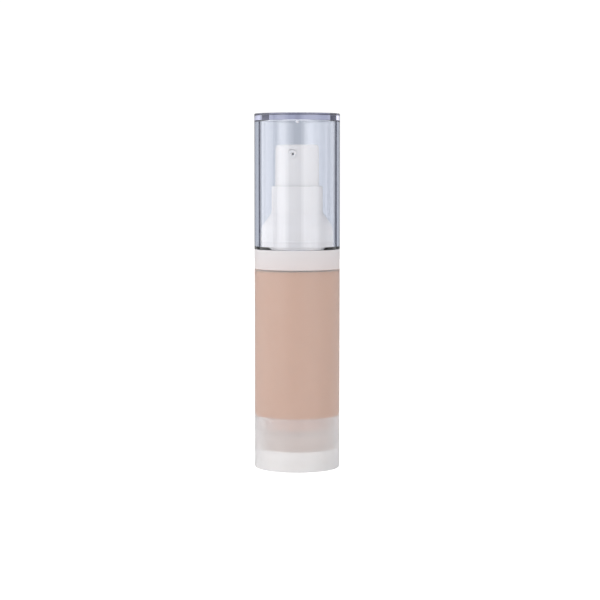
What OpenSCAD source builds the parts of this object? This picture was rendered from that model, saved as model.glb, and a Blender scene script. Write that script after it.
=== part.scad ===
// Airless pump foundation bottle, 30 ml, with a clear overcap.
// A follower piston rises inside the frosted bottle as the pump above it draws product out.
// The frame: origin at the bottom centre, +Z up along the axis, the nozzle faces -Y. Millimetres.

/* [Bottle] */
// Outer diameter of the bottle and of the overcap
body_d = 30; // [28:0.1:33]
// Height of the bottle from its foot to its shoulder
shoulder_z = 70.3; // [55:0.05:90]
// Wall of the bottle
bottle_wall = 1.6; // [1.5:0.1:1.8]
// Thickness of the bottle's shoulder
shoulder_t = 0.8; // [0.8:0.1:1.6]
// Radius round the foot of the bottle
foot_r = 1.2; // [0.3:0.1:1.2]
// Height of the base plug inside the bottle, where the follower rests
plug_h = 7.1; // [6:0.1:10]

/* [Follower piston] */
// Overall height of the follower, from lip to lip
follower_h = 11.45; // [9:0.05:14]
// Depth of the cup in the follower's top, which clears the pump's inlet
follower_cup = 4.6; // [4:0.1:5]

/* [Collar] */
// Height of the ring that carries on the bottle's outline
ring_h = 6.85; // [6.4:0.05:9]
// Outer diameter of the collar where the overcap slides over it
collar_d = 25.5; // [25.2:0.1:25.5]
// Outer diameter of the collar's tube
tube_d = 17.96; // [17.7:0.02:19]
// Height of the collar's tube above the ring
tube_h = 22.15; // [21:0.05:26]
// Angle of the flare between the collar's base and its tube, from upright
flare_angle = 36; // [30:1:38]

/* [Actuator] */
// Diameter of the actuator
actuator_d = 15.5; // [14.8:0.1:15.6]
// Height of the actuator's top above the collar's tube
actuator_rise = 14.65; // [13:0.05:18]
// Travel of the actuator when it is pressed
stroke = 4.5; // [3.5:0.1:4.6]
// Slope of the actuator's top, down towards the nozzle
top_slope = 1.5; // [0:0.5:7]
// Distance of the nozzle below the actuator's top
nozzle_drop = 3.5; // [3.5:0.1:6]
// Radius of the outlet hole
orifice_r = 0.4; // [0.3:0.05:0.6]

/* [Overcap] */
// Height of the overcap
cap_h = 47.4; // [44:0.1:55]
// Wall of the overcap
cap_wall = 2.05; // [1.55:0.05:2.05]
// Thickness of the overcap's top
cap_top = 2.4; // [1.5:0.1:3]

/* [Pump] */
// Bore of the dosing chamber
chamber_d = 9.2; // [8.6:0.1:9.4]
// Lost motion of the dosing piston on the plunger, which opens and shuts the ports
piston_lag = 1; // [0.8:0.1:1]
// Lift of the inlet ball
ball_lift = 0.9; // [0.5:0.1:1]
// Diameter of the inlet ball
ball_d = 3.5; // [3.2:0.1:3.6]
// Wire of the return spring
wire_d = 0.7; // [0.5:0.05:0.7]
// Open turns of the return spring
spring_turns = 5.5; // [4:0.5:5.5]

/* [Hidden] */
$fn = 96;

// Clearances: between pieces that slide or turn, and between pieces that are pushed together
slide_gap = 0.05;
fit_gap = 0.05;
// How far a cutting shape runs past the face that it cuts
past = 1;

// Bottle
body_r = body_d / 2;
bore_r = body_r - bottle_wall;
shoulder_under = shoulder_z - shoulder_t;
shoulder_edge = 0.3;
neck_r = 10.7;
neck_bore_r = 9.4;
neck_top = shoulder_z + 5.7;
neck_bead = 0.3;
neck_bead_z = neck_top - 2.2;
snap_z = 3.1;
snap_depth = 0.25;
snap_h = 0.9;

// Follower piston
follower_z = plug_h + slide_gap;
rim_z = follower_z + follower_h;
web_top = rim_z - follower_cup;
web_t = 1.3;
lip_h = 1.5;
lip_gap = 0.04;
follower_r = bore_r - 0.5;
follower_wall = 1.2;

// Ring and collar
ring_z = shoulder_z + fit_gap;
ring_top = shoulder_z + ring_h;
collar_r = collar_d / 2;
tube_r = tube_d / 2;
tube_top = ring_top + tube_h;
tube_bore_r = actuator_d / 2 + 0.15;
collar_skirt_r = 11.85;
flare_round = 8;
flare_fillet = 2.5;
flare_z = ring_top + 5.05;
bead_z = ring_top + 2.9;
bead_out = 0.15;
bead_h = 0.9;

// The flare: a round of flare_round, a straight stretch, and a fillet into the tube
flare_start = [
    collar_r - flare_round * (1 - cos(flare_angle)),
    flare_z + flare_round * sin(flare_angle)
];
flare_end_r = tube_r + flare_fillet * (1 - cos(flare_angle));
flare_end_z = flare_start[1] + (flare_start[0] - flare_end_r) / tan(flare_angle);
tube_start = flare_end_z + flare_fillet * sin(flare_angle);
inner_flare_z = flare_z + 1.1;
inner_tube_z = inner_flare_z + (collar_skirt_r - tube_bore_r) / tan(flare_angle);

// Actuator
actuator_r = actuator_d / 2;
actuator_top = tube_top + actuator_rise;
actuator_draft = 0.15;
actuator_wall = 1.1;
skirt_z = tube_top - 6.3;
crown_t = 2.4;
corner_r = 1.2;
slope_y = actuator_r - actuator_draft - corner_r;
nozzle_z = actuator_top - nozzle_drop;
boss_r = 3.4;
socket_gap = 0.03;
nozzle_boss_r = 2.1;
seat_gap = 0.02;
channel_r = 1.1;
insert_r = 1.5;
insert_len = 3.2;
insert_y = actuator_r - 0.1;
cone_r = 0.9;
cone_depth = 0.4;
dish_r = 70;
dish_depth = 0.25;

// Overcap
cap_z = ring_top + fit_gap;
cap_end = cap_z + cap_h;
cap_bore_r = body_r - cap_wall;
cap_mouth = 0.6;
cap_mouth_h = 1;
cap_corner = 0.5;
cap_edge = 0.5;
bore_corner = 0.5;

// Pump
gasket_t = 0.8;
flange_z = neck_top + gasket_t;
flange_t = 1.2;
flange_r = 10.7;
housing_r = 5.6;
chamber_r = chamber_d / 2;
chamber_floor = flange_z - 6;
chamber_top = flange_z + 5;
floor_t = 1.3;
inlet_z = chamber_floor - 5.6;
inlet_r = 3.2;
inlet_hole_r = 1;
lip_t = 0.5;
closure_r = 11.8;
closure_skirt_r = neck_r + neck_bead + fit_gap;
closure_z = shoulder_z + 0.7;
closure_t = 1;
closure_hole_r = 6.9;

// Inlet ball, on a 45 degree seat and kept in by a lip
ball_r = ball_d / 2;
lip_hole_r = 1.55;
ball_gap = 0.05;
ball_z = chamber_floor - lip_t - sqrt(pow(ball_r, 2) - pow(lip_hole_r, 2)) - ball_lift - ball_gap;
pocket_r = ball_r + 0.15;
seat_z = ball_z - ball_gap - ball_r / cos(45) + inlet_hole_r;
seat_top = seat_z + pocket_r - inlet_hole_r;

// Stem, plunger and dosing piston
stem_r = 2.2;
stem_bore_r = 1.1;
stem_z = flange_z + 3;
stem_top = tube_top + 3;
stem_flange_r = 4.9;
stem_flange_t = 1.2;
spring_top = tube_top - 5.3;
plunger_z = chamber_floor + stroke + 0.7;
plunger_flange_r = 3.3;
plunger_flange_t = 1;
plunger_rod_r = 1.6;
spigot_len = 4;
port_r = 0.4;
hub_z = plunger_z + plunger_flange_t + slide_gap;
hub_top = stem_z - piston_lag;
port_z = hub_z + 0.65;
piston_wall = 0.7;
piston_top = stem_z + 0.4;

// Stem guide and spring
guide_top = chamber_top + 1.2;
guide_r = 6.6;
guide_skirt = 2;
seat_wall_r = 4.75;
wire_r = wire_d / 2;
spring_r = 3.6;
spring_z = guide_top + fit_gap;
wire_sides = 8;
rings_per_turn = 14;
end_turns = 1;

// A point at angle a on a circle about c
function on_circle(c, r, a) = [c[0] + r * cos(a), c[1] + r * sin(a)];
// Points along an arc about c, from angle a to angle b
function arc(c, r, a, b, steps = 8) = [for (i = [0:steps]) on_circle(c, r, a + (b - a) * i / steps)];

// A solid of revolution from an outline of [radius, height] points
module turned(points) {
    rotate_extrude() polygon(points);
}

// A tube between two heights
module ring_between(outer, inner, z0, z1) {
    translate([0, 0, z0]) difference() {
        cylinder(r = outer, h = z1 - z0);
        translate([0, 0, -past]) cylinder(r = inner, h = z1 - z0 + 2 * past);
    }
}

// A hole or rod that runs forward from the axis, along -Y
module forward_rod(r, y0, y1, z) {
    translate([0, -y0, z]) rotate([90, 0, 0]) cylinder(r = r, h = y1 - y0);
}

// Clear cap: a straight cup, upside down, with a bevelled mouth and a bore that grips the collar's bead
module overcap() {
    color([0.82, 0.86, 0.93, 0.4]) turned(concat(
        [[cap_bore_r + cap_mouth, cap_z], [body_r - cap_edge, cap_z], [body_r, cap_z + cap_edge]],
        arc([body_r - cap_corner, cap_end - cap_corner], cap_corner, 0, 90),
        [[0, cap_end], [0, cap_end - cap_top]],
        arc([cap_bore_r - bore_corner, cap_end - cap_top - bore_corner], bore_corner, 90, 0),
        [[cap_bore_r, cap_z + cap_mouth_h]]
    ));
}

// Push button: a thin shell with a boss for the stem and a channel to the nozzle
module actuator() {
    color([0.95, 0.95, 0.96]) difference() {
        union() {
            difference() {
                turned(concat(
                    [[0, skirt_z], [actuator_r, skirt_z], [actuator_r, tube_top]],
                    arc([slope_y, actuator_top - corner_r], corner_r, 0, 90),
                    [[0, actuator_top]]
                ));
                translate([0, 0, skirt_z - past])
                    cylinder(r = actuator_r - actuator_wall, h = actuator_top - crown_t - skirt_z + past);
            }
            translate([0, 0, spring_top + stem_flange_t + slide_gap])
                cylinder(r = boss_r, h = actuator_top - crown_t - spring_top - stem_flange_t);
            forward_rod(nozzle_boss_r, 0, actuator_r - actuator_wall / 2, nozzle_z);
        }
        // Socket for the stem, and the channel above it
        translate([0, 0, spring_top])
            cylinder(r = stem_r + socket_gap, h = stem_top + slide_gap - spring_top);
        translate([0, 0, stem_top]) cylinder(r = channel_r, h = nozzle_z - stem_top);
        forward_rod(channel_r, 0, insert_y, nozzle_z);
        forward_rod(insert_r + seat_gap, insert_y - insert_len - seat_gap, actuator_r + past, nozzle_z);
        // Top: sloped towards the nozzle from its rear edge, with a shallow dish for the finger
        translate([0, slope_y, actuator_top]) rotate([top_slope, 0, 0]) {
            translate([-actuator_d, -2 * actuator_d, 0])
                cube([2 * actuator_d, 3 * actuator_d, actuator_d]);
            translate([0, -slope_y, dish_r - dish_depth]) sphere(r = dish_r);
        }
    }
}

// Small plug in the actuator that holds the outlet hole
module nozzle_insert() {
    color([0.93, 0.93, 0.94]) difference() {
        forward_rod(insert_r, insert_y - insert_len, insert_y, nozzle_z);
        forward_rod(orifice_r, insert_y - insert_len - past, insert_y + past, nozzle_z);
        translate([0, -insert_y - 0.01, nozzle_z]) rotate([-90, 0, 0])
            cylinder(r1 = cone_r, r2 = orifice_r, h = cone_depth);
    }
}

// Bell-shaped collar: a skirt that grips the closure, a flare, and the tube that guides the actuator
module collar() {
    color([0.94, 0.94, 0.95]) turned(concat(
        [[collar_skirt_r, ring_z], [collar_r, ring_z]],
        [[collar_r, bead_z - bead_h / 2], [collar_r + bead_out, bead_z], [collar_r, bead_z + bead_h / 2]],
        arc([collar_r - flare_round, flare_z], flare_round, 0, flare_angle),
        arc([tube_r + flare_fillet, tube_start], flare_fillet, 180 + flare_angle, 180, 5),
        arc([tube_r - 0.35, tube_top - 0.35], 0.35, 0, 90, 4),
        [[tube_bore_r, tube_top], [tube_bore_r, inner_tube_z], [collar_skirt_r, inner_flare_z]]
    ));
}

// Plain band between the bottle's shoulder and the overcap
module shoulder_ring() {
    edge = 0.15;
    ring_r = body_r - 0.05;
    color([0.91, 0.89, 0.88]) turned([
        [collar_r + fit_gap, ring_z], [ring_r - edge, ring_z], [ring_r, ring_z + edge],
        [ring_r, ring_top - edge], [ring_r - edge, ring_top], [collar_r + fit_gap, ring_top]
    ]);
}

// Bottle: a straight tube, open below, with a shoulder and a narrower neck
module bottle() {
    color([0.86, 0.82, 0.79, 0.55]) turned(concat(
        [[bore_r, 0]],
        arc([body_r - foot_r, foot_r], foot_r, -90, 0),
        [[body_r, shoulder_z - shoulder_edge], [body_r - shoulder_edge, shoulder_z]],
        [[neck_r, shoulder_z]],
        [
            [neck_r, neck_bead_z - neck_bead], [neck_r + neck_bead, neck_bead_z],
            [neck_r + neck_bead, neck_bead_z + 0.6], [neck_r, neck_bead_z + 1.2],
            [neck_r, neck_top], [neck_bore_r, neck_top],
            [neck_bore_r, shoulder_under], [bore_r, shoulder_under],
            [bore_r, snap_z + snap_h], [bore_r + snap_depth, snap_z + snap_h / 2 + 0.2],
            [bore_r + snap_depth, snap_z + snap_h / 2 - 0.2], [bore_r, snap_z]
        ]
    ));
}

// Base plug: a vented cup that snaps into the foot of the bottle and stops the follower
module base_plug() {
    plug_r = bore_r - fit_gap;
    plug_floor = 0.5;
    bead = snap_depth - 0.02;
    vent_r = 1;
    color([0.93, 0.93, 0.93]) difference() {
        turned([
            [0, plug_floor], [plug_r - 0.4, plug_floor], [plug_r, plug_floor + 0.4],
            [plug_r, snap_z], [plug_r + bead, snap_z + snap_h / 2], [plug_r, snap_z + snap_h],
            [plug_r, plug_h - 0.4], [plug_r - 0.4, plug_h], [plug_r - 1.3, plug_h],
            [plug_r - 1.3, plug_floor + 1.4], [0, plug_floor + 1.4]
        ]);
        translate([0, 0, plug_floor - past]) cylinder(r = vent_r, h = 1.4 + 2 * past);
    }
}

// Follower piston: two lips on an H-shaped body, with a cup above its web
module follower_piston() {
    lip_r = bore_r - lip_gap;
    inner_r = follower_r - follower_wall;
    color([0.95, 0.94, 0.93]) turned([
        [0, web_top - web_t], [inner_r, web_top - web_t], [inner_r, follower_z],
        [lip_r - 0.5, follower_z],
        [lip_r, follower_z + 0.5], [lip_r, follower_z + lip_h - 0.4],
        [follower_r, follower_z + lip_h + 0.4],
        [follower_r, rim_z - lip_h - 0.4], [lip_r, rim_z - lip_h + 0.4], [lip_r, rim_z - 0.5],
        [lip_r - 0.5, rim_z], [inner_r, rim_z], [inner_r, web_top], [0, web_top]
    ]);
}

// The product: it fills the bore above the follower, its cup included, around the pump's inlet
module foundation_fill() {
    cup_r = follower_r - follower_wall - 0.1;
    fill_r = bore_r - 0.08;
    inlet_gap = 0.1;
    color([0.82, 0.69, 0.61]) difference() {
        turned([
            [0, web_top + fit_gap], [cup_r, web_top + fit_gap], [cup_r, rim_z + fit_gap],
            [fill_r, rim_z + fit_gap], [fill_r, shoulder_under - fit_gap], [0, shoulder_under - fit_gap]
        ]);
        translate([0, 0, inlet_z - inlet_gap])
            cylinder(r = housing_r + inlet_gap, h = shoulder_under - inlet_z + past);
    }
}

// Soft washer between the neck's rim and the pump's flange
module neck_gasket() {
    color([0.8, 0.82, 0.84]) ring_between(neck_r - 0.1, neck_bore_r + 0.05, neck_top, flange_z);
}

// Ring that clips under the neck's bead and holds the pump's flange down
module snap_closure() {
    closure_top = flange_z + flange_t + closure_t;
    color([0.9, 0.9, 0.91]) turned([
        [neck_r + fit_gap + 0.3, closure_z], [closure_r, closure_z],
        [closure_r, closure_top - 0.3], [closure_r - 0.3, closure_top], [closure_hole_r, closure_top],
        [closure_hole_r, flange_z + flange_t], [closure_skirt_r, flange_z + flange_t],
        [closure_skirt_r, neck_bead_z - 0.1], [neck_r + fit_gap, neck_bead_z - neck_bead - 0.2],
        [neck_r + fit_gap, closure_z + 0.3]
    ]);
}

// Pump housing: the dosing chamber, the flange that hangs it in the neck, and the inlet's ball seat
module pump_housing() {
    flow_slots = 4;
    slot_w = 0.8;
    slot_r = pocket_r + 0.7;
    color([0.93, 0.93, 0.95]) difference() {
        union() {
            turned([
                [0, inlet_z], [inlet_r - 0.3, inlet_z], [inlet_r, inlet_z + 0.3],
                [inlet_r, chamber_floor - floor_t],
                [housing_r - 0.4, chamber_floor - floor_t], [housing_r, chamber_floor - floor_t + 0.4],
                [housing_r, chamber_top], [0, chamber_top]
            ]);
            translate([0, 0, flange_z]) cylinder(r = flange_r, h = flange_t);
        }
        turned([
            [0, inlet_z - past], [inlet_hole_r, inlet_z - past], [inlet_hole_r, seat_z],
            [pocket_r, seat_top], [pocket_r, chamber_floor - lip_t],
            [lip_hole_r, chamber_floor - lip_t], [lip_hole_r, chamber_floor],
            [chamber_r, chamber_floor], [chamber_r, chamber_top + past], [0, chamber_top + past]
        ]);
        // Slots beside the ball, which let the product past it
        for (i = [0:flow_slots - 1])
            rotate([0, 0, 360 / flow_slots * i]) translate([0, -slot_w / 2, seat_top])
                cube([slot_r, slot_w, chamber_floor - seat_top + 0.01]);
    }
}

// Stem guide: closes the top of the chamber, guides the stem and seats the spring
module stem_guide() {
    color([0.9, 0.91, 0.93]) turned([
        [stem_r + slide_gap, chamber_top], [housing_r + fit_gap, chamber_top],
        [housing_r + fit_gap, chamber_top - guide_skirt], [guide_r, chamber_top - guide_skirt],
        [guide_r, guide_top - 0.3], [guide_r - 0.3, guide_top], [seat_wall_r + 0.6, guide_top],
        [seat_wall_r + 0.6, guide_top + 0.8], [seat_wall_r, guide_top + 0.8], [seat_wall_r, guide_top],
        [stem_r + slide_gap, guide_top]
    ]);
}

// Steel spring: closed end turns, open turns between, swept as a tube along its helix
module return_spring() {
    low = spring_z + wire_r;
    high = spring_top - fit_gap - wire_r;
    turns = spring_turns + 2 * end_turns;
    rings = ceil(turns * rings_per_turn);
    open_rise = high - low - 2 * end_turns * wire_d * 1.02;
    // Height of the wire's centre after t turns
    function rise(t) =
        t < end_turns ? t * wire_d * 1.02 :
        t > turns - end_turns ? high - low - (turns - t) * wire_d * 1.02 :
        end_turns * wire_d * 1.02 + (t - end_turns) * open_rise / spring_turns;
    function wire_point(i, j) =
        let (t = turns * i / rings, a = 360 * t, b = 360 * j / wire_sides, r = spring_r + wire_r * cos(b))
        [r * cos(a), r * sin(a), low + rise(t) + wire_r * sin(b)];
    points = [for (i = [0:rings]) for (j = [0:wire_sides - 1]) wire_point(i, j)];
    walls = [
        for (i = [0:rings - 1]) for (j = [0:wire_sides - 1])
            let (k = (j + 1) % wire_sides, a = i * wire_sides, b = a + wire_sides)
            each [[a + j, a + k, b + k], [a + j, b + k, b + j]]
    ];
    first = [for (j = [1:wire_sides - 2]) [0, j + 1, j]];
    last = [for (j = [1:wire_sides - 2]) rings * wire_sides * [1, 1, 1] + [0, j, j + 1]];
    color([0.75, 0.76, 0.78]) polyhedron(points, concat(walls, first, last));
}

// Stem: a hollow rod from the dosing piston up into the actuator, with a flange for the spring
module stem() {
    color([0.92, 0.93, 0.95]) difference() {
        union() {
            translate([0, 0, stem_z]) cylinder(r = stem_r, h = stem_top - stem_z);
            translate([0, 0, spring_top]) cylinder(r = stem_flange_r, h = stem_flange_t);
        }
        translate([0, 0, stem_z - past]) cylinder(r = stem_bore_r, h = stem_top - stem_z + 2 * past);
    }
}

// Plunger: a flanged rod pressed into the foot of the stem, with side ports that the piston covers
module plunger() {
    spigot_r = stem_bore_r - 0.02;
    duct_r = 0.6;
    color([0.86, 0.87, 0.9]) difference() {
        union() {
            translate([0, 0, plunger_z]) cylinder(r = plunger_flange_r, h = plunger_flange_t);
            translate([0, 0, plunger_z]) cylinder(r = plunger_rod_r, h = stem_z - plunger_z);
            translate([0, 0, plunger_z]) cylinder(r = spigot_r, h = stem_z + spigot_len - plunger_z);
        }
        translate([0, 0, port_z]) cylinder(r = duct_r, h = stem_z + spigot_len - port_z + past);
        translate([-plunger_rod_r - past, 0, port_z]) rotate([0, 90, 0])
            cylinder(r = port_r, h = 2 * (plunger_rod_r + past));
    }
}

// Dosing piston: a soft sleeve with a hub that slides on the plunger and shuts its ports
module dosing_piston() {
    lip_r = chamber_r - slide_gap;
    core_r = lip_r - piston_wall;
    color([0.88, 0.9, 0.92]) turned([
        [plunger_rod_r + slide_gap, hub_z], [core_r, hub_z], [core_r, plunger_z],
        [lip_r - 0.3, plunger_z],
        [lip_r, plunger_z + 0.3], [lip_r, plunger_z + 1], [lip_r - 0.25, plunger_z + 1.4],
        [lip_r - 0.25, piston_top - 1.4], [lip_r, piston_top - 1], [lip_r, piston_top - 0.3],
        [lip_r - 0.3, piston_top], [core_r, piston_top], [core_r, hub_top],
        [plunger_rod_r + slide_gap, hub_top]
    ]);
}

// Steel ball that shuts the inlet on the downstroke
module inlet_ball() {
    color([0.7, 0.71, 0.73]) translate([0, 0, ball_z]) sphere(r = ball_r);
}

overcap();
actuator();
nozzle_insert();
collar();
shoulder_ring();
bottle();
base_plug();
follower_piston();
foundation_fill();
neck_gasket();
snap_closure();
pump_housing();
stem_guide();
return_spring();
stem();
plunger();
dosing_piston();
inlet_ball();
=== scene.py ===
"""Looks of a 30 ml airless pump foundation bottle with a clear overcap.

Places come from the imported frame. Lengths that the frame doesn't hold are named below, in metres.
Round pieces are turned from an outline of (radius, height, rounding) corners.
"""

import math

import bmesh
import bpy
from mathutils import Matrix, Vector


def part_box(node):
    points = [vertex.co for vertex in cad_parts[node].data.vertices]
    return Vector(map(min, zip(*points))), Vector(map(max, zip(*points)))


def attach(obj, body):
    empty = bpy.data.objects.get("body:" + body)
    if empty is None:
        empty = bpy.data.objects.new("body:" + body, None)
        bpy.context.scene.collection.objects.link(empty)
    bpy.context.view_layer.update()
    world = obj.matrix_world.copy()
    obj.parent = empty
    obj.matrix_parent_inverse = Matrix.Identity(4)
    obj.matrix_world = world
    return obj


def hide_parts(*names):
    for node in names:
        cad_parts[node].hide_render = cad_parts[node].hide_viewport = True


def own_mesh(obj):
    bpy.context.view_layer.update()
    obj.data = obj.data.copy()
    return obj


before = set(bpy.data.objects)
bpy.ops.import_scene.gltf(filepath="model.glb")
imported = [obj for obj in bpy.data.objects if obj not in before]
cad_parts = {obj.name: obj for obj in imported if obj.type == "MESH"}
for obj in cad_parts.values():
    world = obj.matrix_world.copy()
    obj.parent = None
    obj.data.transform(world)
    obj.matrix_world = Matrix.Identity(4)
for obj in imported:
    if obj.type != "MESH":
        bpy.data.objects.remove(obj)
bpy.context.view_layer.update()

MM = 0.001


# ---------------------------------------------------------------- places from the frame

def low(node):
    """Lowest height of a CAD node."""
    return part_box(node)[0].z


def high(node):
    """Highest height of a CAD node."""
    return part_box(node)[1].z


def radius(node):
    """Largest radius of a CAD node that is round about the axis."""
    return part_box(node)[1].x


BODY_R = radius("overcap")
CAP_Z, CAP_END = low("overcap"), high("overcap")
RING_Z, RING_TOP, RING_R = low("shoulder_ring"), high("shoulder_ring"), radius("shoulder_ring")
SHOULDER = RING_Z - 0.05 * MM
NECK_TOP = high("bottle")
TUBE_TOP = high("collar")
SKIRT_Z, ACTUATOR_R = low("actuator"), radius("actuator")
ACTUATOR_TOP = high("actuator") + 0.03 * MM  # before the top leans and is dished
NOZZLE_Z = (low("nozzle_insert") + high("nozzle_insert")) / 2
NOZZLE_R = radius("nozzle_insert")
NOZZLE_Y = -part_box("nozzle_insert")[0].y
PLUG_Z, PLUG_TOP = low("base_plug"), high("base_plug")
FOLLOWER_Z, RIM_Z, LIP_R = low("follower_piston"), high("follower_piston"), radius("follower_piston")
WEB_TOP = low("foundation_fill") - 0.05 * MM
SPRING_Z, SPRING_TOP = low("return_spring"), high("return_spring")

# ---------------------------------------------------------------- lengths of the looks

WALL = 1.6 * MM
BORE_R = BODY_R - WALL
SHOULDER_T = 0.5 * MM  # thinner than the solid's, so that the seam under the band stays a fine line
FOOT_R = 1.2 * MM
CAP_WALL = 2.05 * MM
CAP_PLATE = 2.4 * MM
COLLAR_R = 12.75 * MM
TUBE_R = 8.98 * MM
TUBE_BORE_R = ACTUATOR_R + 0.05 * MM
ROUND_SEGMENTS = 192

# ---------------------------------------------------------------- camera

CAMERA_AZIMUTH = 11.5
CAMERA_DISTANCE = 0.65
CAMERA_Z = 0.105
CAMERA_LENS = 110.9
AIM_Z = 0.0592
AIM_SIDE = 1.0 * MM


def direction(azimuth):
    """Level unit vector from the axis towards an azimuth: 0 is the nozzle's side, 90 is +X."""
    turn = math.radians(azimuth)
    return Vector((math.sin(turn), -math.cos(turn), 0))


def aim(thing, target):
    """Turns a camera or a light to look at a point."""
    thing.rotation_euler = (Vector(target) - thing.location).to_track_quat("-Z", "Y").to_euler()


def make_camera():
    """Camera at the viewing angle of the reference, a little above the middle of the bottle."""
    camera = bpy.data.objects.new("camera", bpy.data.cameras.new("camera"))
    bpy.context.scene.collection.objects.link(camera)
    camera.data.lens = CAMERA_LENS
    camera.data.sensor_width = 36
    camera.data.clip_start = 0.02
    camera.location = direction(CAMERA_AZIMUTH) * CAMERA_DISTANCE + Vector((0, 0, CAMERA_Z))
    aim(camera, direction(CAMERA_AZIMUTH + 90) * AIM_SIDE + Vector((0, 0, AIM_Z)))
    bpy.context.scene.camera = camera


# ---------------------------------------------------------------- material helpers

class Nodes:
    """A material and short ways to add nodes to it."""

    def __init__(self, name):
        self.material = bpy.data.materials.new(name)
        self.material.use_nodes = True
        self.tree = self.material.node_tree
        self.tree.nodes.clear()
        self.output = self.add("ShaderNodeOutputMaterial")
        self.place = self.add("ShaderNodeTexCoord").outputs["Object"]

    def add(self, kind, **settings):
        """A node of a kind, with its attributes set."""
        node = self.tree.nodes.new(kind)
        for key, value in settings.items():
            setattr(node, key, value)
        return node

    def link(self, source, target):
        """Joins an output to an input."""
        self.tree.links.new(source, target)

    def noise(self, scale, detail=3.0, stretch=(1, 1, 1)):
        """Noise over the object's own coordinates, in features per metre; returns its value."""
        mapping = self.add("ShaderNodeMapping")
        mapping.inputs["Scale"].default_value = stretch
        self.link(self.place, mapping.inputs["Vector"])
        texture = self.add("ShaderNodeTexNoise")
        texture.inputs["Scale"].default_value = scale
        texture.inputs["Detail"].default_value = detail
        self.link(mapping.outputs["Vector"], texture.inputs["Vector"])
        return texture.outputs["Fac"]

    def spread(self, value, least, most):
        """Spreads noise, which lies mostly from 0.3 to 0.7, over a range."""
        node = self.add("ShaderNodeMapRange")
        node.inputs["From Min"].default_value = 0.3
        node.inputs["From Max"].default_value = 0.7
        node.inputs["To Min"].default_value = least
        node.inputs["To Max"].default_value = most
        self.link(value, node.inputs["Value"])
        return node.outputs["Result"]

    def up_between(self, bottom, top):
        """0 at the bottom height and below, 1 at the top height and above."""
        parts = self.add("ShaderNodeSeparateXYZ")
        self.link(self.place, parts.inputs["Vector"])
        node = self.add("ShaderNodeMapRange")
        node.inputs["From Min"].default_value = bottom
        node.inputs["From Max"].default_value = top
        self.link(parts.outputs["Z"], node.inputs["Value"])
        return node.outputs["Result"]

    def blend_colours(self, factor, first, second):
        """A colour that goes from first to second; first may be an output."""
        node = self.add("ShaderNodeMix", data_type="RGBA")
        if isinstance(first, bpy.types.NodeSocket):
            self.link(first, node.inputs["A"])
        else:
            node.inputs["A"].default_value = (*first, 1)
        node.inputs["B"].default_value = (*second, 1)
        self.link(factor, node.inputs["Factor"])
        return node.outputs["Result"]

    def bump(self, height, distance, strength=1.0):
        """A normal bumped by a height of that many metres."""
        node = self.add("ShaderNodeBump")
        node.inputs["Strength"].default_value = strength
        node.inputs["Distance"].default_value = distance
        self.link(height, node.inputs["Height"])
        return node.outputs["Normal"]

    def principled(self, **values):
        """A Principled shader; a value is a plain number or colour, or an output to link."""
        shader = self.add("ShaderNodeBsdfPrincipled")
        for key, value in values.items():
            socket = shader.inputs[key.replace("_", " ")]
            if isinstance(value, bpy.types.NodeSocket):
                self.link(value, socket)
            else:
                socket.default_value = value
        return shader.outputs["BSDF"]

    def show(self, shader):
        """Sends a shader to the output and returns the material."""
        self.link(shader, self.output.inputs["Surface"])
        return self.material

    def show_clear(self, shader, lamp_tint):
        """As show, but light from lamps and off pieces inside passes straight through, tinted."""
        path = self.add("ShaderNodeLightPath")
        either = self.add("ShaderNodeMath", operation="MAXIMUM")
        self.link(path.outputs["Is Shadow Ray"], either.inputs[0])
        self.link(path.outputs["Is Diffuse Ray"], either.inputs[1])
        open_side = self.add("ShaderNodeBsdfTransparent")
        open_side.inputs["Color"].default_value = (*lamp_tint, 1)
        mix = self.add("ShaderNodeMixShader")
        self.link(either.outputs["Value"], mix.inputs["Fac"])
        self.link(shader, mix.inputs[1])
        self.link(open_side.outputs["BSDF"], mix.inputs[2])
        return self.show(mix.outputs["Shader"])


# ---------------------------------------------------------------- materials

def moulded_plastic(name, light, dark, roughness, grain=1.0, glow=0.15, gloss=0.5, painted_top_tint=None):
    """White moulded plastic: faint mottling, fine grain, and a little light that goes in and comes out.

    A top colour, when given, replaces the others towards the top of the shoulder band, as painted light: a bluish
    tint of the light that falls there through the cap.
    """
    nodes = Nodes(name)
    mottle = nodes.spread(nodes.noise(90, 2), 0, 1)
    sheen = nodes.spread(nodes.noise(600, 3), roughness * 0.85, roughness * 1.15)
    colour = nodes.blend_colours(mottle, light, dark)
    # painted light: towards the top of the band the colour turns to a bluish tint of light through the cap
    if painted_top_tint:
        colour = nodes.blend_colours(nodes.up_between(RING_Z, RING_TOP), colour, painted_top_tint)
    return nodes.show(nodes.principled(
        Base_Color=colour,
        Roughness=sheen,
        IOR=1.49,
        Specular_IOR_Level=gloss,
        Subsurface_Weight=glow,
        Subsurface_Radius=(1.0, 0.85, 0.75),
        Subsurface_Scale=0.0012,
        Normal=nodes.bump(nodes.noise(2600, 2), 0.000004 * grain),
    ))


def clear_styrene():
    """Clear cap plastic: polished, faintly smoky, with slow waves from moulding."""
    nodes = Nodes("clear_styrene")
    waves = nodes.noise(70, 1, stretch=(1, 1, 0.15))
    surface = nodes.principled(
        Base_Color=(1, 1, 1, 1),
        Roughness=nodes.spread(nodes.noise(160, 2), 0.0, 0.03),
        IOR=1.57,
        Transmission_Weight=1.0,
        Normal=nodes.bump(waves, 0.00001),
    )
    absorption = nodes.add("ShaderNodeVolumeAbsorption")
    absorption.inputs["Color"].default_value = (0.878, 0.868, 0.935, 1)
    absorption.inputs["Density"].default_value = 100
    nodes.link(absorption.outputs["Volume"], nodes.output.inputs["Volume"])
    return nodes.show_clear(surface, (0.98, 0.985, 0.99))


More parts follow.
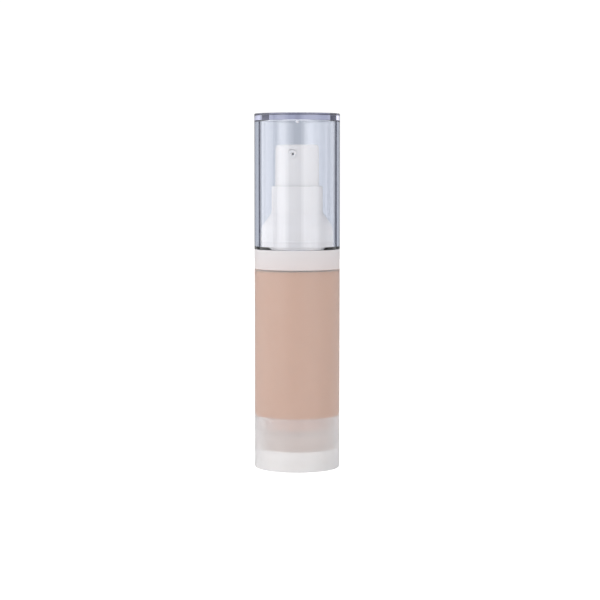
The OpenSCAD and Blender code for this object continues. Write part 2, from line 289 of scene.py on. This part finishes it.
def frosted_polypropylene():
    """Bottle wall: milky, blurs what is behind it, with a fine matt texture."""
    nodes = Nodes("frosted_polypropylene")
    mottle = nodes.spread(nodes.noise(120, 2), 0, 1)
    return nodes.show_clear(nodes.principled(
        Base_Color=nodes.blend_colours(mottle, (0.97, 0.965, 0.965), (0.94, 0.93, 0.93)),
        Roughness=nodes.spread(nodes.noise(900, 2), 0.42, 0.48),
        IOR=1.49,
        Transmission_Weight=0.8,
        Normal=nodes.bump(nodes.noise(3200, 2), 0.000006),
    ), (0.9, 0.89, 0.88))


def soft_polyethylene():
    """Follower plastic: whitish and half see-through."""
    nodes = Nodes("soft_polyethylene")
    mottle = nodes.spread(nodes.noise(150, 2), 0, 1)
    return nodes.show_clear(nodes.principled(
        Base_Color=nodes.blend_colours(mottle, (1.0, 0.885, 0.83), (0.98, 0.86, 0.805)),
        Roughness=nodes.spread(nodes.noise(700, 2), 0.26, 0.34),
        IOR=1.51,
        Transmission_Weight=0.94,
        Normal=nodes.bump(nodes.noise(2600, 2), 0.000006),
    ), (0.95, 0.86, 0.8))


def foundation_cream():
    """The product: an opaque beige cream with slow, faint streaks of pigment."""
    nodes = Nodes("foundation_cream")
    streaks = nodes.spread(nodes.noise(140, 3, stretch=(1, 1, 0.35)), 0, 1)
    return nodes.show(nodes.principled(
        Base_Color=nodes.blend_colours(streaks, (0.52, 0.256, 0.138), (0.502, 0.245, 0.13)),
        Roughness=nodes.spread(nodes.noise(400, 2), 0.38, 0.46),
        Subsurface_Weight=0.25,
        Subsurface_Radius=(1.0, 0.6, 0.4),
        Subsurface_Scale=0.0015,
        Normal=nodes.bump(nodes.noise(260, 3), 0.00002),
    ))


def natural_plastic():
    """Unpigmented pump plastic: whitish and waxy."""
    nodes = Nodes("natural_plastic")
    mottle = nodes.spread(nodes.noise(200, 2), 0, 1)
    return nodes.show(nodes.principled(
        Base_Color=nodes.blend_colours(mottle, (0.84, 0.87, 0.89), (0.79, 0.82, 0.85)),
        Roughness=nodes.spread(nodes.noise(700, 2), 0.3, 0.4),
        Subsurface_Weight=0.4,
        Subsurface_Radius=(1.0, 1.0, 1.0),
        Subsurface_Scale=0.0015,
        Normal=nodes.bump(nodes.noise(2400, 2), 0.000005),
    ))


def drawn_steel():
    """Stainless wire and ball: bright, with fine drawing marks."""
    nodes = Nodes("drawn_steel")
    marks = nodes.noise(1500, 2, stretch=(1, 1, 8))
    return nodes.show(nodes.principled(
        Base_Color=(0.72, 0.73, 0.75, 1),
        Metallic=1.0,
        Roughness=nodes.spread(marks, 0.16, 0.3),
        Normal=nodes.bump(marks, 0.000002),
    ))


def soft_gasket():
    """Foamed washer: pale grey, dull, with small cells."""
    nodes = Nodes("soft_gasket")
    cells = nodes.noise(3500, 4)
    return nodes.show(nodes.principled(
        Base_Color=nodes.blend_colours(nodes.spread(cells, 0, 1), (0.74, 0.77, 0.8), (0.66, 0.69, 0.72)),
        Roughness=0.75,
        Normal=nodes.bump(cells, 0.00004),
    ))


# ---------------------------------------------------------------- mesh helpers

def rounded(corners, steps=6):
    """The outline of (radius, height) points through corners of (radius, height, rounding)."""
    outline = []
    count = len(corners)
    for i, (r, z, rounding) in enumerate(corners):
        here = Vector((r, z))
        before = Vector(corners[i - 1][:2]) - here
        after = Vector(corners[(i + 1) % count][:2]) - here
        if rounding == 0 or before.length == 0 or after.length == 0:
            outline.append((r, z))
            continue
        half = before.angle(after) / 2
        reach = min(rounding / math.tan(half), 0.49 * before.length, 0.49 * after.length)
        size = reach * math.tan(half)
        middle = here + (before.normalized() + after.normalized()).normalized() * size / math.sin(half)
        start = here + before.normalized() * reach - middle
        end = here + after.normalized() * reach - middle
        sweep = start.angle_signed(end)
        for k in range(steps + 1):
            turn = -sweep * k / steps
            outline.append((
                middle.x + start.x * math.cos(turn) - start.y * math.sin(turn),
                middle.y + start.x * math.sin(turn) + start.y * math.cos(turn),
            ))
    return outline


def turned_mesh(name, outline, closed=True, segments=ROUND_SEGMENTS):
    """A mesh turned about the axis from an outline; points on the axis become one vertex each."""
    shape = bmesh.new()
    rings = []
    for r, z in outline:
        if r < 1e-7:
            rings.append([shape.verts.new((0, 0, z))])
        else:
            angles = (2 * math.pi * k / segments for k in range(segments))
            rings.append([shape.verts.new((r * math.cos(a), r * math.sin(a), z)) for a in angles])
    pairs = list(zip(rings, rings[1:]))
    if closed and not (len(rings[0]) == 1 and len(rings[-1]) == 1):
        pairs.append((rings[-1], rings[0]))
    for one, two in pairs:
        for k in range(segments):
            n = (k + 1) % segments
            corners = [one[k % len(one)], one[n % len(one)], two[n % len(two)], two[k % len(two)]]
            face = list(dict.fromkeys(corners))
            if len(face) > 2:
                shape.faces.new(face)
    bmesh.ops.recalc_face_normals(shape, faces=shape.faces)
    mesh = bpy.data.meshes.new(name)
    shape.to_mesh(mesh)
    shape.free()
    return mesh


def make_piece(name, mesh, body, material, replaced=()):
    """An object from a mesh, with smooth shading that keeps flats flat, riding on its CAD body."""
    piece = bpy.data.objects.new(name, mesh)
    bpy.context.scene.collection.objects.link(piece)
    mesh.materials.clear()
    mesh.materials.append(material)
    mesh.polygons.foreach_set("use_smooth", [True] * len(mesh.polygons))
    keep_flats = piece.modifiers.new("keep_flats", "WEIGHTED_NORMAL")
    keep_flats.keep_sharp = True
    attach(piece, body)
    if replaced:
        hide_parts(*replaced)
    return piece


def cut(mesh, tools):
    """The mesh with the tool meshes cut out of it."""
    target = bpy.data.objects.new("target", mesh)
    bpy.context.scene.collection.objects.link(target)
    helpers = []
    for tool in tools:
        helper = bpy.data.objects.new("tool", tool)
        bpy.context.scene.collection.objects.link(helper)
        helpers.append(helper)
        modifier = target.modifiers.new("cut", "BOOLEAN")
        modifier.operation = "DIFFERENCE"
        modifier.solver = "EXACT"
        modifier.object = helper
    bpy.context.view_layer.update()
    result = bpy.data.meshes.new_from_object(target.evaluated_get(bpy.context.evaluated_depsgraph_get()))
    for thing in [target, *helpers]:
        bpy.data.objects.remove(thing)
    return result


def facing_nozzle(mesh):
    """Turns a mesh made about +Z so that its +Z points forward, along -Y, at the nozzle's height."""
    for vertex in mesh.vertices:
        x, y, z = vertex.co
        vertex.co = (x, -z, NOZZLE_Z + y)
    return mesh


def ease(value, start, end):
    """0 before start, 1 after end, smooth between."""
    t = min(max((value - start) / (end - start), 0), 1)
    return t * t * (3 - 2 * t)


# ---------------------------------------------------------------- pieces

def make_overcap(material, glint_material):
    """Clear cap: thick plate on top, straight wall with a bevelled mouth, and inside its top a gate mark of opaque
    white plastic that is a painted highlight.
    """
    inner_top = CAP_END - CAP_PLATE
    inner_r = BODY_R - CAP_WALL
    mouth, mouth_h = 0.6 * MM, 1.0 * MM
    mark_r, mark, mark_root = 0.5 * MM, 0.8 * MM, 0.02 * MM
    outline = rounded([
        (inner_r + mouth, CAP_Z, 0.05 * MM), (BODY_R, CAP_Z, 0.2 * MM), (BODY_R, CAP_END, 0.4 * MM), (0, CAP_END, 0),
        (0, inner_top, 0), (inner_r, inner_top, 0.5 * MM), (inner_r, CAP_Z + mouth_h, 0.1 * MM),
    ])
    mesh = turned_mesh("overcap", outline, segments=256)
    make_piece("clear_overcap", mesh, "cap", material, ["overcap"])
    # painted highlight: the gate mark is opaque white so that it shows as a bright glint
    spot = turned_mesh("spot", rounded([
        (0, inner_top - mark, 0), (mark_r, inner_top - mark, 0.35 * MM),
        (mark_r, inner_top + mark_root, 0), (0, inner_top + mark_root, 0),
    ]), segments=48)
    make_piece("gate_mark_painted_glint", spot, "cap", glint_material, ["overcap"])


def make_actuator(material):
    """Push button: a thin shell whose top leans a little towards the nozzle and is dished for the finger."""
    wall, crown, corner, draft = 1.1 * MM, 2.4 * MM, 1.2 * MM, 0.15 * MM
    top_r = ACTUATOR_R - draft
    shaped_h = 5 * MM
    seat_in, seat_out = 4 * MM, 9 * MM
    slope, dish, dish_r = math.tan(math.radians(1.5)), 0.25 * MM, 6 * MM
    rings_on_top = [(top_r * k / 10, ACTUATOR_TOP, 0) for k in range(6, -1, -1)]
    outline = rounded([
        (ACTUATOR_R - wall, SKIRT_Z, 0.15 * MM), (ACTUATOR_R, SKIRT_Z, 0.15 * MM), (ACTUATOR_R, TUBE_TOP, 1 * MM),
        (top_r, ACTUATOR_TOP, corner), *rings_on_top,
        (0, ACTUATOR_TOP - crown, 0), (ACTUATOR_R - wall, ACTUATOR_TOP - crown, 0.4 * MM),
    ], steps=8)
    mesh = turned_mesh("actuator", outline)
    for vertex in mesh.vertices:
        x, y, z = vertex.co
        share = ease(z, ACTUATOR_TOP - shaped_h, ACTUATOR_TOP)
        from_axis = math.hypot(x, y)
        hollow = dish * (1 - ease(from_axis, 0, dish_r))
        vertex.co.z = z + share * ((y - ACTUATOR_R) * slope - hollow)
    seat = [(0, seat_in), (NOZZLE_R, seat_in), (NOZZLE_R, seat_out), (0, seat_out)]
    mesh = cut(mesh, [facing_nozzle(turned_mesh("seat", seat, segments=64))])
    return make_piece("push_button", mesh, "button", material, ["actuator"])


def make_nozzle(material):
    """Nozzle insert: a small stepped plug with a funnel round the outlet hole."""
    hole_r, funnel_r, funnel = 0.35 * MM, 0.9 * MM, 0.4 * MM
    plug_r, depth = NOZZLE_R - 0.03 * MM, 3 * MM
    face = NOZZLE_Y
    outline = rounded([
        (hole_r, face - depth, 0), (plug_r, face - depth, 0.1 * MM),
        (plug_r, face, 0.12 * MM), (funnel_r, face, 0.08 * MM), (hole_r, face - funnel, 0.08 * MM),
    ], steps=4)
    mesh = facing_nozzle(turned_mesh("nozzle", outline, segments=96))
    return make_piece("nozzle_plug", mesh, "button", material, ["nozzle_insert"])


def make_collar(material):
    """Bell-shaped collar: base, rounded shoulder, flare, fillet and tube, with the bead for the cap."""
    shoulder_z = RING_TOP + 5.05 * MM
    flare = math.radians(36)
    shoulder_r, fillet_r = 8 * MM, 2.5 * MM
    bead_z, bead, bead_half = RING_TOP + 2.9 * MM, 0.15 * MM, 0.45 * MM
    skirt_r = 11.85 * MM
    corner_z = shoulder_z + shoulder_r * math.tan(flare / 2)
    tube_z = corner_z + (COLLAR_R - TUBE_R) / math.tan(flare)
    inner_z = shoulder_z + 1.1 * MM
    inner_tube_z = inner_z + (skirt_r - TUBE_BORE_R) / math.tan(flare)
    outline = rounded([
        (skirt_r, RING_Z, 0.1 * MM), (COLLAR_R, RING_Z, 0.2 * MM),
        (COLLAR_R, bead_z - bead_half, 0.3 * MM), (COLLAR_R + bead, bead_z, 0.25 * MM),
        (COLLAR_R, bead_z + bead_half, 0.3 * MM),
        (COLLAR_R, corner_z, shoulder_r), (TUBE_R, tube_z, fillet_r),
        (TUBE_R, TUBE_TOP, 0.35 * MM), (TUBE_BORE_R, TUBE_TOP, 0.05 * MM),
        (TUBE_BORE_R, inner_tube_z, 0.5 * MM), (skirt_r, inner_z, 1 * MM),
    ], steps=10)
    mesh = turned_mesh("collar", outline)
    return make_piece("bell_collar", mesh, "bottle_assembly", material, ["collar"])


def make_ring(material):
    """Plain band between the bottle and the cap, with softened edges."""
    inner = COLLAR_R + 0.05 * MM
    outline = rounded([
        (inner, RING_Z, 0.1 * MM), (RING_R, RING_Z, 0.12 * MM),
        (RING_R, RING_TOP, 0.2 * MM), (inner, RING_TOP, 0.1 * MM),
    ])
    mesh = turned_mesh("ring", outline, segments=256)
    return make_piece("shoulder_band", mesh, "bottle_assembly", material, ["shoulder_ring"])


def make_bottle(material):
    """Frosted tube with a rounded foot, a shoulder and a beaded neck."""
    neck_r, neck_bore_r, bead = 10.7 * MM, 9.4 * MM, 0.3 * MM
    bead_z = NECK_TOP - 2.2 * MM
    groove_z, groove = 3.1 * MM, 0.25 * MM
    outline = rounded([
        (BORE_R, 0, 0.1 * MM), (BODY_R, 0, FOOT_R), (BODY_R, SHOULDER, 0.15 * MM), (neck_r, SHOULDER, 0.2 * MM),
        (neck_r, bead_z - bead, 0.1 * MM), (neck_r + bead, bead_z, 0.1 * MM),
        (neck_r + bead, bead_z + 0.6 * MM, 0.1 * MM), (neck_r, bead_z + 1.2 * MM, 0.1 * MM),
        (neck_r, NECK_TOP, 0.2 * MM), (neck_bore_r, NECK_TOP, 0.2 * MM),
        (neck_bore_r, SHOULDER - SHOULDER_T, 0.2 * MM), (BORE_R, SHOULDER - SHOULDER_T, 0.2 * MM),
        (BORE_R, groove_z + 0.9 * MM, 0.1 * MM), (BORE_R + groove, groove_z + 0.6 * MM, 0.1 * MM),
        (BORE_R + groove, groove_z + 0.3 * MM, 0.1 * MM), (BORE_R, groove_z, 0.1 * MM),
    ])
    mesh = turned_mesh("bottle", outline, segments=256)
    return make_piece("frosted_bottle", mesh, "bottle_assembly", material, ["bottle"])


def make_base_plug(material):
    """Vented cup in the foot, with a snap bead."""
    plug_r = BORE_R - 0.05 * MM
    floor, rim, vent_r = 1.4 * MM, 1.3 * MM, 1.0 * MM
    bead_z, bead, bead_half = 3.55 * MM, 0.23 * MM, 0.45 * MM
    outline = rounded([
        (vent_r, PLUG_Z, 0.15 * MM), (plug_r, PLUG_Z, 0.4 * MM), (plug_r, bead_z - bead_half, 0.1 * MM),
        (plug_r + bead, bead_z, 0.15 * MM), (plug_r, bead_z + bead_half, 0.1 * MM),
        (plug_r, PLUG_TOP, 0.4 * MM), (plug_r - rim, PLUG_TOP, 0.3 * MM),
        (plug_r - rim, PLUG_Z + floor, 0.5 * MM), (vent_r, PLUG_Z + floor, 0.15 * MM),
    ])
    mesh = turned_mesh("base_plug", outline)
    return make_piece("vented_base_plug", mesh, "bottle_assembly", material, ["base_plug"])


def make_follower(material):
    """Follower piston: an H-shaped body with two flared lips and a cup above its web."""
    body_r, inner_r, web = BORE_R - 0.5 * MM, BORE_R - 1.7 * MM, 1.3 * MM
    lip_h, lip_run = 1.5 * MM, 0.5 * MM
    outline = rounded([
        (0, WEB_TOP - web, 0), (inner_r, WEB_TOP - web, 0.5 * MM), (inner_r, FOLLOWER_Z, 0.2 * MM),
        (LIP_R - 0.4 * MM, FOLLOWER_Z, 0.2 * MM), (LIP_R, FOLLOWER_Z + 0.5 * MM, 0.3 * MM),
        (LIP_R, FOLLOWER_Z + lip_h - 0.4 * MM, 0.2 * MM), (body_r, FOLLOWER_Z + lip_h + lip_run, 0.5 * MM),
        (body_r, RIM_Z - lip_h - lip_run, 0.5 * MM), (LIP_R, RIM_Z - lip_h + 0.4 * MM, 0.2 * MM),
        (LIP_R, RIM_Z - 0.5 * MM, 0.3 * MM), (LIP_R - 0.4 * MM, RIM_Z, 0.2 * MM), (inner_r, RIM_Z, 0.2 * MM),
        (inner_r, WEB_TOP, 0.5 * MM), (0, WEB_TOP, 0),
    ])
    mesh = turned_mesh("follower", outline)
    return make_piece("follower_seal", mesh, "follower", material, ["follower_piston"])


def make_product(material):
    """The foundation: a column that wets the wall and shortens as the follower rises, and what fills its cup."""
    wet_r = BORE_R + 0.04 * MM
    inlet_r, inlet_z = 5.7 * MM, low("pump_housing") - 0.1 * MM
    top = SHOULDER - SHOULDER_T - 0.02 * MM
    bottom = RIM_Z + 0.03 * MM
    column = turned_mesh("column", rounded([
        (0, bottom, 0), (wet_r, bottom, 0.1 * MM), (wet_r, top, 0.2 * MM),
        (inlet_r, top, 0.1 * MM), (inlet_r, inlet_z, 0.2 * MM), (0, inlet_z, 0),
    ]), segments=256)
    column = make_piece("product_column", column, "bottle_assembly", material, ["foundation_fill"])
    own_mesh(column)
    cup_r = BORE_R - 1.75 * MM
    cup = turned_mesh("cup", rounded([
        (0, WEB_TOP + 0.03 * MM, 0), (cup_r, WEB_TOP + 0.03 * MM, 0.5 * MM), (cup_r, RIM_Z, 0.1 * MM), (0, RIM_Z, 0),
    ]))
    make_piece("product_in_cup", cup, "follower", material, ["foundation_fill"])


def make_spring(material):
    """Return spring: a round wire wound on its helix, with closed ends, that shortens with the button."""
    wire_r, coil_r, turns, end_turns, sides, per_turn = 0.35 * MM, 3.6 * MM, 7.5, 1, 16, 40
    z0, z1 = SPRING_Z + wire_r, SPRING_TOP - wire_r
    close = 2 * wire_r * 1.02
    open_pitch = (z1 - z0 - 2 * end_turns * close) / (turns - 2 * end_turns)
    shape = bmesh.new()
    rings = []
    for i in range(round(turns * per_turn) + 1):
        t = i / per_turn
        rise = min(t, end_turns) * close + max(t - turns + end_turns, 0) * close
        rise += min(max(t - end_turns, 0), turns - 2 * end_turns) * open_pitch
        ring = []
        for j in range(sides):
            b = 2 * math.pi * j / sides
            r = coil_r + wire_r * math.cos(b)
            a = 2 * math.pi * t
            ring.append(shape.verts.new((r * math.cos(a), r * math.sin(a), z0 + rise + wire_r * math.sin(b))))
        rings.append(ring)
    for one, two in zip(rings, rings[1:]):
        for j in range(sides):
            k = (j + 1) % sides
            shape.faces.new([one[j], one[k], two[k], two[j]])
    shape.faces.new(rings[0])
    shape.faces.new(rings[-1])
    bmesh.ops.recalc_face_normals(shape, faces=shape.faces)
    mesh = bpy.data.meshes.new("spring")
    shape.to_mesh(mesh)
    shape.free()
    spring = make_piece("coil_spring", mesh, "bottle_assembly", material, ["return_spring"])
    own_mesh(spring)


def repaint(node, material):
    """Gives a CAD node that stays its material."""
    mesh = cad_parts[node].data
    mesh.materials.clear()
    mesh.materials.append(material)


# ---------------------------------------------------------------- stage

BEHIND = (0.451, 0.489, 0.556)
AROUND = (0.30, 0.30, 0.31)
WHITE = (1.05, 1.05, 1.05)


def backdrop(tree):
    """The colour behind the bottle: it brightens to either side of the camera's axis."""
    place = tree.nodes.new("ShaderNodeTexCoord")
    across = tree.nodes.new("ShaderNodeVectorMath")
    across.operation = "DOT_PRODUCT"
    across.inputs[1].default_value = direction(CAMERA_AZIMUTH + 90)
    tree.links.new(place.outputs["Generated"], across.inputs[0])
    ramp = tree.nodes.new("ShaderNodeValToRGB")
    half_width = 0.5
    stops = ramp.color_ramp.elements
    left_levels = [(-0.5, 1.2), (-0.12, 1.2), (-0.045, 1.08), (-0.015, 1.0)]
    levels = left_levels + [(0.015, 1.0), (0.045, 1.16), (0.12, 1.16), (0.5, 1.16)]
    while len(stops) < len(levels):
        stops.new(0.5)
    for stop, (side, level) in zip(stops, levels):
        stop.position = 0.5 + side / (2 * half_width)
        stop.color = (*(level * channel for channel in BEHIND), 1)
    shift = tree.nodes.new("ShaderNodeMapRange")
    shift.inputs["From Min"].default_value = -half_width
    shift.inputs["From Max"].default_value = half_width
    tree.links.new(across.outputs["Value"], shift.inputs["Value"])
    tree.links.new(shift.outputs["Result"], ramp.inputs["Fac"])
    return ramp.outputs["Color"]


def make_world():
    """White to the eye, a dimmer blue-grey seen through clear pieces, and soft grey to everything else."""
    world = bpy.data.worlds.new("studio")
    bpy.context.scene.world = world
    world.use_nodes = True
    tree = world.node_tree
    path = tree.nodes.new("ShaderNodeLightPath")
    colour = None
    for ray, tint in (("Is Transmission Ray", BEHIND), ("Is Camera Ray", WHITE)):
        mix = tree.nodes.new("ShaderNodeMix")
        mix.data_type = "RGBA"
        mix.inputs["A"].default_value = (*AROUND, 1)
        mix.inputs["B"].default_value = (*tint, 1)
        tree.links.new(path.outputs[ray], mix.inputs["Factor"])
        if colour:
            tree.links.new(colour, mix.inputs["A"])
        else:
            tree.links.new(backdrop(tree), mix.inputs["B"])
        colour = mix.outputs["Result"]
    tree.links.new(colour, tree.nodes["Background"].inputs["Color"])


def stage_plane(name, corners, material):
    """A flat stage piece from its corners."""
    mesh = bpy.data.meshes.new(name)
    mesh.from_pydata(corners, [], [tuple(range(len(corners)))])
    mesh.materials.append(material)
    plane = bpy.data.objects.new(name, mesh)
    bpy.context.scene.collection.objects.link(plane)
    return plane


def make_floor():
    """Plain pale floor: white to the eye, and the backdrop's blue-grey when seen through clear pieces."""
    nodes = Nodes("floor")
    path = nodes.add("ShaderNodeLightPath")
    lift = nodes.add("ShaderNodeMapRange")
    lift.inputs["To Min"].default_value = 0.3
    lift.inputs["To Max"].default_value = 1.0
    nodes.link(path.outputs["Is Camera Ray"], lift.inputs["Value"])
    surface = nodes.principled(
        Base_Color=(0.8, 0.8, 0.8, 1),
        Roughness=0.8,
        Emission_Color=(1, 1, 1, 1),
        Emission_Strength=lift.outputs["Result"],
    )
    through = nodes.add("ShaderNodeEmission")
    through.inputs["Color"].default_value = (*BEHIND, 1)
    mix = nodes.add("ShaderNodeMixShader")
    nodes.link(path.outputs["Is Transmission Ray"], mix.inputs["Fac"])
    nodes.link(surface, mix.inputs[1])
    nodes.link(through.outputs["Emission"], mix.inputs[2])
    size, drop = 1.5, 0.02 * MM
    corners = [(-size, -size, -drop), (size, -size, -drop), (size, size, -drop), (-size, size, -drop)]
    stage_plane("floor", corners, nodes.show(mix.outputs["Shader"]))


def make_flag(name, first, last, distance=0.9, height=1.2):
    """A dark flag between two angles behind the bottle; it shows only through clear pieces."""
    nodes = Nodes(name)
    dark = nodes.principled(
        Base_Color=(0.02, 0.02, 0.03, 1), Roughness=0.9,
        Emission_Color=(0.35, 0.5, 1, 1), Emission_Strength=0.05,
    )
    sides = [direction(CAMERA_AZIMUTH + angle) * distance for angle in (first, last)]
    corners = [(side.x, side.y, z) for side, z in zip([*sides, *reversed(sides)], (0, 0, height, height))]
    flag = stage_plane(name, corners, nodes.show(dark))
    flag.visible_camera = flag.visible_diffuse = flag.visible_glossy = flag.visible_shadow = False


def make_softbox(name, first, last, radiance, edge=0, distance=0.8, height=1.0):
    """A tall soft light between two angles round the bottle from the camera, dimmer within its edges.

    The camera doesn't see it.
    """
    strips = [(first + edge, last - edge, 1)]
    if edge:
        strips += [(first, first + edge, 0.5), (last - edge, last, 0.5)]
    for start, end, share in strips:
        middle, half = math.radians(start + end) / 2, math.radians(end - start) / 2
        lamp = bpy.data.lights.new(name, "AREA")
        lamp.shape = "RECTANGLE"
        lamp.size, lamp.size_y = 2 * distance * math.tan(half), height
        lamp.energy = radiance * share * math.pi * lamp.size * lamp.size_y
        light = bpy.data.objects.new(name, lamp)
        bpy.context.scene.collection.objects.link(light)
        light.location = direction(CAMERA_AZIMUTH + math.degrees(middle)) * distance + Vector((0, 0, height / 2))
        light.visible_camera = False
        aim(light, (0, 0, height / 2))


def make_softbox_above(name, radiance, size=0.8, height=1.1):
    """A square soft light that looks straight down."""
    lamp = bpy.data.lights.new(name, "AREA")
    lamp.size = size
    lamp.energy = radiance * math.pi * size * size
    light = bpy.data.objects.new(name, lamp)
    bpy.context.scene.collection.objects.link(light)
    light.location = (0, 0, height)
    light.visible_camera = False


def make_lights():
    """Key on the left, fill on the right, a panel well round on either side, a top light and two flags."""
    make_softbox("key", -62, -24, 1.75, edge=8)
    make_softbox("fill", 11, 66, 1.35, edge=7)
    make_softbox("left_panel", -120, -67, 1.3)
    make_softbox("right_panel", 90, 128, 0.5)
    make_softbox_above("top", 1.6)
    make_flag("left_flag", -139.5, -122)
    make_flag("right_flag", 134, 149)


# ---------------------------------------------------------------- assembly

def build():
    """Makes the camera, the pieces, the materials and the stage."""
    make_camera()
    gloss = moulded_plastic("white_gloss", (0.765, 0.76, 0.76), (0.75, 0.745, 0.745), 0.42, gloss=0.35)
    # The band's pink tone is a painted glow of the product below, and its upper colour a painted bluish tint of light
    # through the cap.
    band_white_painted_glow = moulded_plastic("white_satin", (0.705, 0.64, 0.632), (0.69, 0.625, 0.617), 0.5, grain=2.0, gloss=0.4,
                            painted_top_tint=(0.695, 0.667, 0.672))
    bright = moulded_plastic("white_plug_and_painted_glint", (0.88, 0.87, 0.875), (0.865, 0.855, 0.86), 0.42, gloss=0.35)
    soft = soft_polyethylene()
    natural = natural_plastic()
    steel = drawn_steel()
    cream = foundation_cream()
    # The plug's white also paints the highlight of the gate mark inside the cap.
    make_overcap(clear_styrene(), bright)
    make_actuator(gloss)
    make_nozzle(gloss)
    make_collar(gloss)
    make_ring(band_white_painted_glow)
    make_bottle(frosted_polypropylene())
    make_base_plug(bright)
    make_follower(soft)
    make_product(cream)
    make_spring(steel)
    repaint("neck_gasket", soft_gasket())
    repaint("snap_closure", band_white_painted_glow)
    repaint("inlet_ball", steel)
    repaint("dosing_piston", soft)
    for node in ("pump_housing", "stem_guide", "stem", "plunger"):
        repaint(node, natural)
    make_world()
    make_floor()
    make_lights()
    bpy.context.scene.view_settings.view_transform = "Standard"


build()
